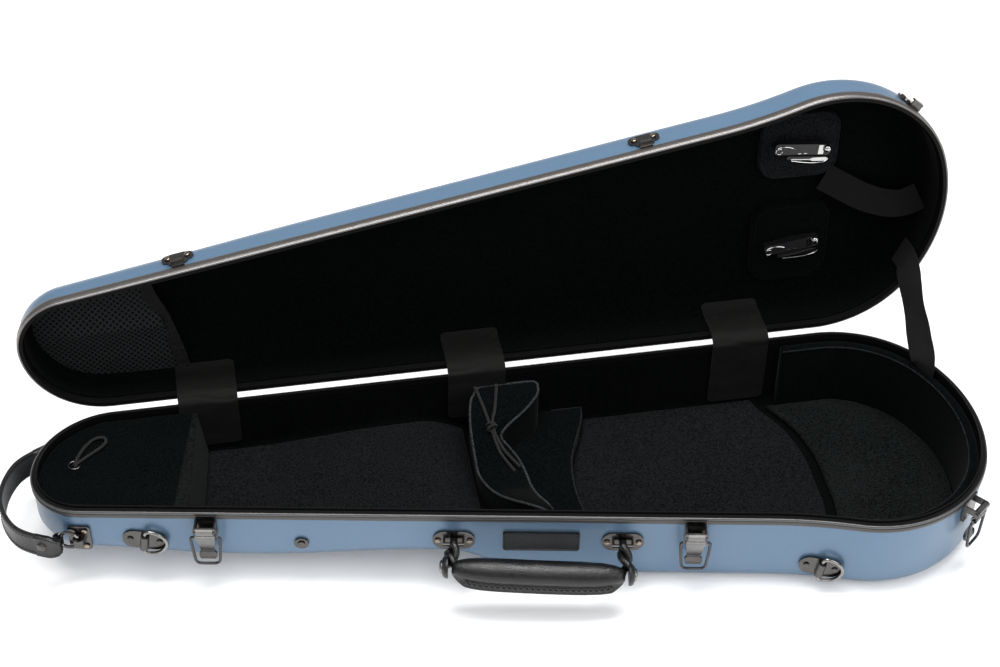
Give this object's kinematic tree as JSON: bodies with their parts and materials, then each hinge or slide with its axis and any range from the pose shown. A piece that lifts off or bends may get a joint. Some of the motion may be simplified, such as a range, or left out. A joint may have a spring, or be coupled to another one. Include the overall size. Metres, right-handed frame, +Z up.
{
  "type": "violin case",
  "caption": "Shaped hard violin case with a hinged lid, draw latches, padded lining, neck cradle, bow holders and carrying handles.",
  "frame": {"origin": "under the middle of the flat underside of the lower shell, on the surface that the case stands on", "axes": "+X along the case from the scroll end to the body end, +Y from the latch side to the hinge side, +Z up"},
  "size_m": [0.8137, 0.2999, 0.3139],
  "materials": {
    "painted_carbon_shell": "satin metallic blue lacquer over carbon fibre",
    "rim_frame": "gunmetal anodised extrusion with a bright inner lip",
    "rubber_seal": "matt black rubber",
    "velour": "black velour",
    "velour_pad": "black velour over foam",
    "leather": "black stitched leather",
    "ribbon": "dark woven ribbon and cord",
    "black_plastic": "satin black plastic",
    "bright_steel": "polished nickel plate",
    "dark_nickel": "dark nickel plate, brassy rivets"
  },
  "bodies": {
    "base": {"lower_shell": "painted_carbon_shell", "lower_frame": "rim_frame", "base_lining": "velour", "rim_seal": "rubber_seal", "accessory_divider": "velour", "neck_pad": "velour_pad", "neck_cradle": "velour_pad", "shoulder_block": "velour_pad", "side_cushion": "velour_pad", "body_pad": "velour_pad", "end_pad": "velour_pad", "latch_plate_1": "dark_nickel", "latch_plate_2": "dark_nickel", "latch_plate_3": "dark_nickel", "handle_anchor_1": "dark_nickel", "handle_anchor_2": "dark_nickel", "ring_plate_1": "dark_nickel", "ring_plate_2": "dark_nickel", "end_plate_front": "dark_nickel", "end_ring": "bright_steel", "end_plate_back": "dark_nickel", "end_handle": "leather", "badge_plate": "bright_steel", "stud_washer": "bright_steel", "hinge_base_leaf_1": "dark_nickel", "hinge_base_leaf_2": "dark_nickel", "hinge_base_leaf_3": "dark_nickel", "hinge_cover_1": "velour", "hinge_cover_2": "velour", "hinge_cover_3": "velour", "lid_stay": "ribbon", "neck_tie_cord": "ribbon"},
    "lid": {"upper_shell": "painted_carbon_shell", "upper_frame": "rim_frame", "lid_lining": "velour", "bow_pad_1": "velour_pad", "bow_pad_2": "velour_pad", "bow_spinner_base_1": "black_plastic", "bow_spinner_base_2": "black_plastic", "lid_ribbon": "ribbon", "net_pocket": "velour", "latch_keeper_1": "dark_nickel", "latch_keeper_2": "dark_nickel", "latch_keeper_3": "dark_nickel", "hinge_lid_leaf_1": "dark_nickel", "hinge_lid_leaf_2": "dark_nickel", "hinge_lid_leaf_3": "dark_nickel"},
    "lever_1": {"latch_lever_1": "dark_nickel"},
    "bail_1": {"latch_bail_1": "dark_nickel"},
    "lever_2": {"latch_lever_2": "dark_nickel"},
    "bail_2": {"latch_bail_2": "dark_nickel"},
    "lever_3": {"latch_lever_3": "dark_nickel"},
    "bail_3": {"latch_bail_3": "dark_nickel"},
    "handle": {"handle_grip": "leather"},
    "ring_1": {"strap_ring_1": "bright_steel"},
    "ring_2": {"strap_ring_2": "bright_steel"},
    "flap": {"accessory_flap": "velour", "flap_pull_cord": "ribbon"},
    "spinner_1": {"bow_spinner_clip_1": "black_plastic"},
    "spinner_2": {"bow_spinner_clip_2": "black_plastic"}
  },
  "joints": [
    {"name": "lid_hinge", "type": "hinge", "parent": "base", "child": "lid", "pos_m": [0, 0.1206, 0.076], "axis": [-1, 0, 0], "range_deg": [-93.2, 0], "deforming": ["hinge_cover_1", "hinge_cover_2", "hinge_cover_3", "lid_stay"]},
    {"name": "latch_lever_turn_1", "type": "hinge", "parent": "base", "child": "lever_1", "pos_m": [-0.4454, -0.02329, 0.0667], "axis": [-0.9836, 0.1805, 0], "range_deg": [0, 100]},
    {"name": "latch_bail_turn_1", "type": "hinge", "parent": "lever_1", "child": "bail_1", "pos_m": [-0.44522, -0.02231, 0.0588], "axis": [0.9836, -0.1805, 0], "range_deg": [-191.6, 0]},
    {"name": "latch_lever_turn_2", "type": "hinge", "parent": "base", "child": "lever_2", "pos_m": [-0.06075, -0.09389, 0.0667], "axis": [-0.9836, 0.1805, 0], "range_deg": [0, 100]},
    {"name": "latch_bail_turn_2", "type": "hinge", "parent": "lever_2", "child": "bail_2", "pos_m": [-0.06057, -0.09291, 0.0588], "axis": [0.9836, -0.1805, 0], "range_deg": [-191.6, 0]},
    {"name": "latch_lever_turn_3", "type": "hinge", "parent": "base", "child": "lever_3", "pos_m": [0.17377, -0.10287, 0.0667], "axis": [-0.766, -0.6428, 0], "range_deg": [0, 100]},
    {"name": "latch_bail_turn_3", "type": "hinge", "parent": "lever_3", "child": "bail_3", "pos_m": [0.17313, -0.1021, 0.0588], "axis": [0.766, 0.6428, 0], "range_deg": [-191.6, 0]},
    {"name": "handle_swing", "type": "hinge", "parent": "base", "child": "handle", "pos_m": [-0.18295, -0.06556, 0.048], "axis": [-0.9836, 0.1805, 0], "range_deg": [0, 80]},
    {"name": "strap_ring_swing_1", "type": "hinge", "parent": "base", "child": "ring_1", "pos_m": [-0.49401, -0.00613, 0.044], "axis": [-0.1369, 0.0251, -0.9903], "range_deg": [0, 150]},
    {"name": "strap_ring_swing_2", "type": "hinge", "parent": "base", "child": "ring_2", "pos_m": [0.0425, -0.10766, 0.024], "axis": [-0.1336, 0.039, -0.9903], "range_deg": [0, 150]},
    {"name": "flap_lift", "type": "hinge", "parent": "base", "child": "flap", "pos_m": [-0.4458, 0.112, 0.071], "axis": [0.2017, 0.9795, 0], "range_deg": [0, 100]},
    {"name": "bow_spinner_turn_1", "type": "hinge", "parent": "lid", "child": "spinner_1", "pos_m": [0.08348, 0.17035, 0.24208], "axis": [0, 0.9984, -0.0558], "range_deg": [0, 90]},
    {"name": "bow_spinner_turn_2", "type": "hinge", "parent": "lid", "child": "spinner_2", "pos_m": [0.08348, 0.16482, 0.14324], "axis": [0, 0.9984, -0.0558], "range_deg": [0, 90]}
  ]
}
